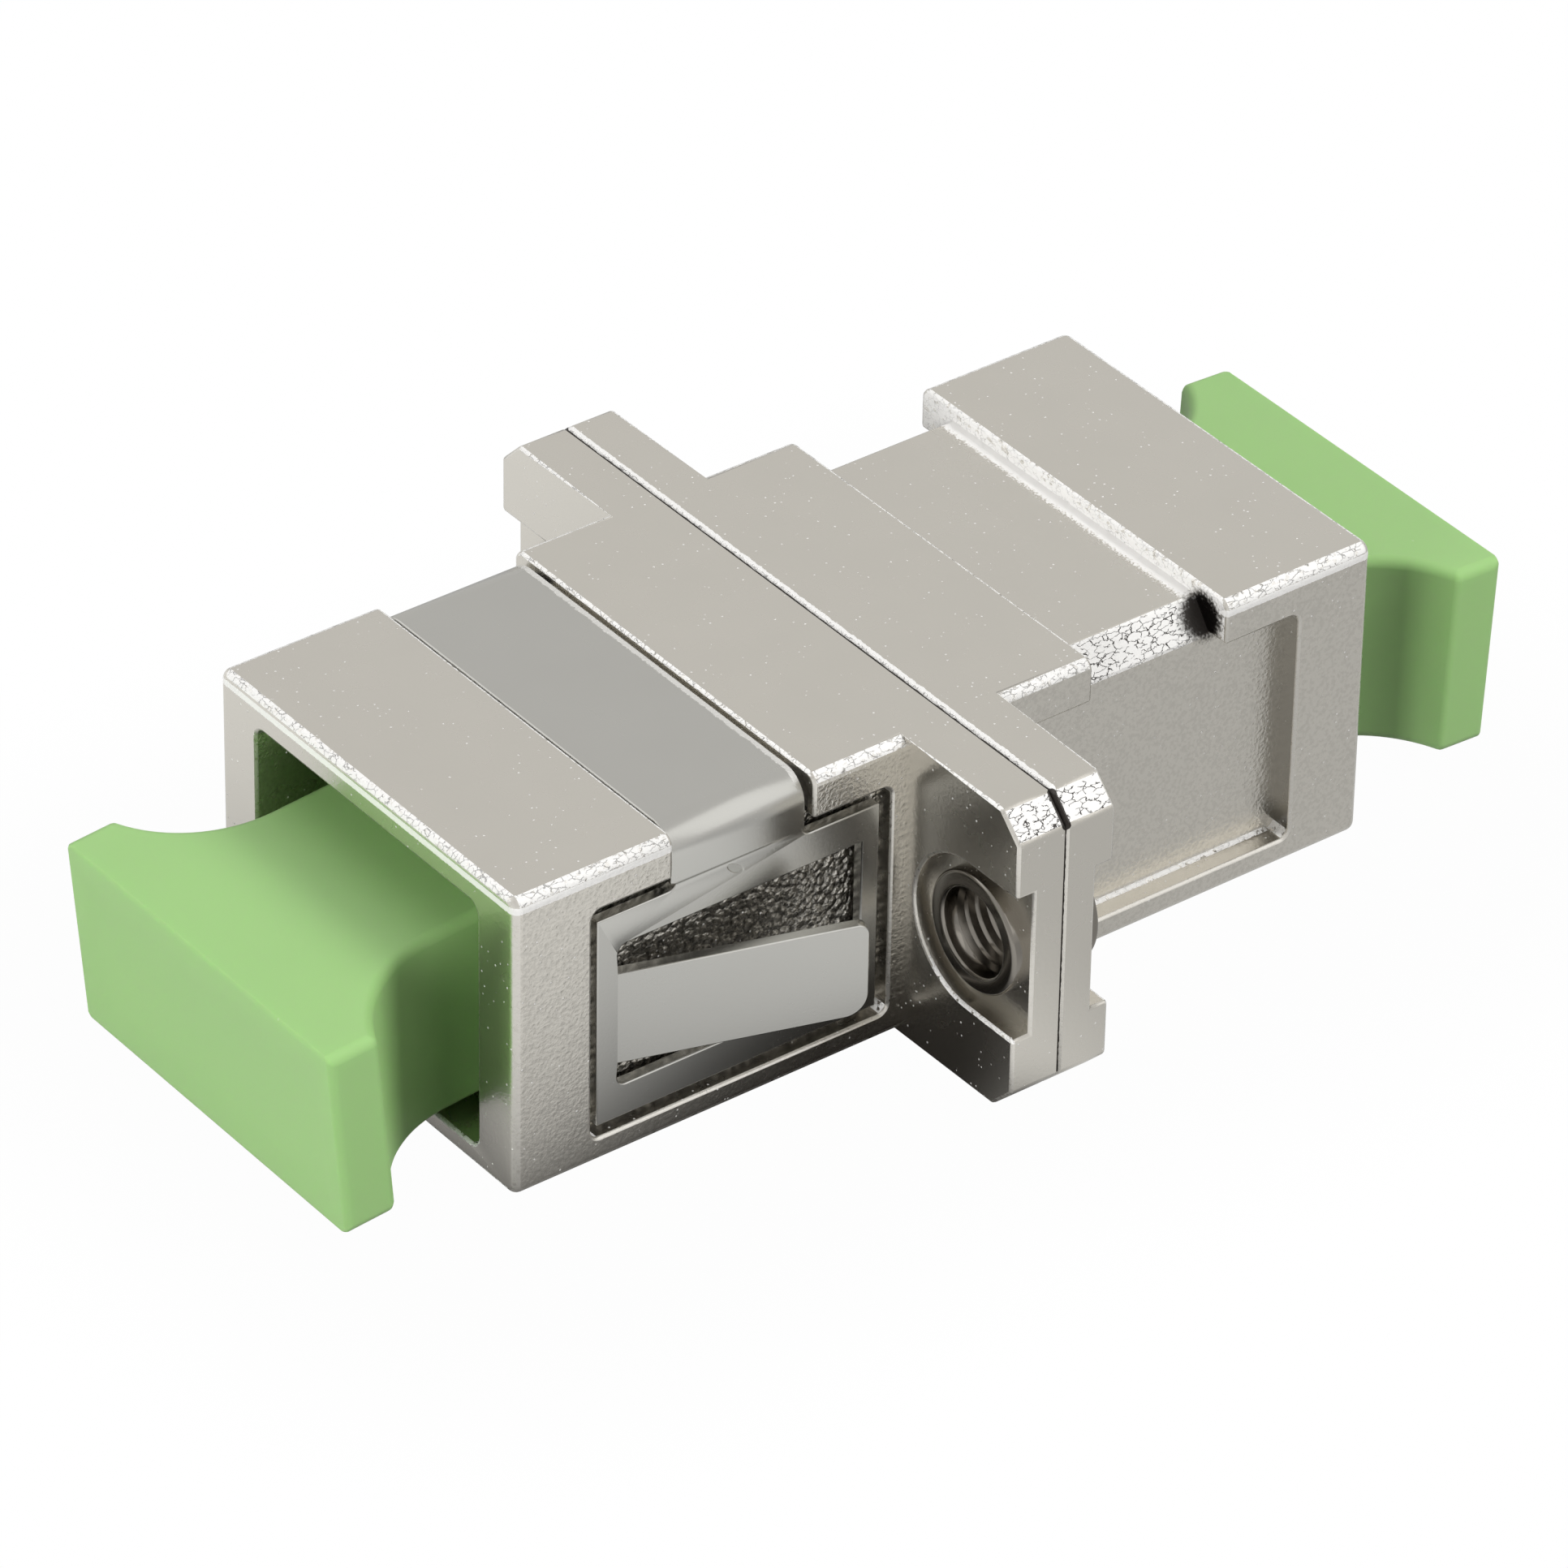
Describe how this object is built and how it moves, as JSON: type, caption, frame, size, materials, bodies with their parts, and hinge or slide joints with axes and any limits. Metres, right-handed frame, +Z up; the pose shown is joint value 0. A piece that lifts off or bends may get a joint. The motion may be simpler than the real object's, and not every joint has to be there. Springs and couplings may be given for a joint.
{
  "type": "fibre optic coupler",
  "caption": "Simplex fibre optic coupler: cast flanged housing halves with rectangular sockets, ceramic split sleeve, folded panel clip, eyeleted ears and pull-out dust plugs.",
  "frame": {"origin": "middle of the seam between the two housing halves, at the underside of the housing", "axes": "+Z up through the clip's bridge, Y along the light path with the clipped half at -Y, X across the two ears"},
  "size_m": [0.0222, 0.038, 0.0092],
  "materials": {
    "cast_metal": "fine-grained cast surface under dull nickel plate, bright at the edges",
    "clip_steel": "smooth rolled spring sheet",
    "eyelet_metal": "nickel-plated brass, polished",
    "holder_plastic": "moulded, matte",
    "sleeve_ceramic": "polished white ceramic",
    "plug_soft": "soft matte green moulding"
  },
  "bodies": {
    "coupler": {"front_housing": "cast_metal", "rear_housing": "cast_metal", "panel_clip": "clip_steel", "left_eyelet": "eyelet_metal", "right_eyelet": "eyelet_metal", "front_sleeve_holder": "holder_plastic", "rear_sleeve_holder": "holder_plastic", "split_sleeve": "sleeve_ceramic"},
    "front_plug": {"front_dust_plug": "plug_soft"},
    "rear_plug": {"rear_dust_plug": "plug_soft"}
  },
  "joints": [
    {"name": "front_plug_pull", "type": "slide", "parent": "coupler", "child": "front_plug", "axis": [0, -1, 0], "range_m": [0, 0.01]},
    {"name": "rear_plug_pull", "type": "slide", "parent": "coupler", "child": "rear_plug", "axis": [0, 1, 0], "range_m": [0, 0.01]}
  ]
}
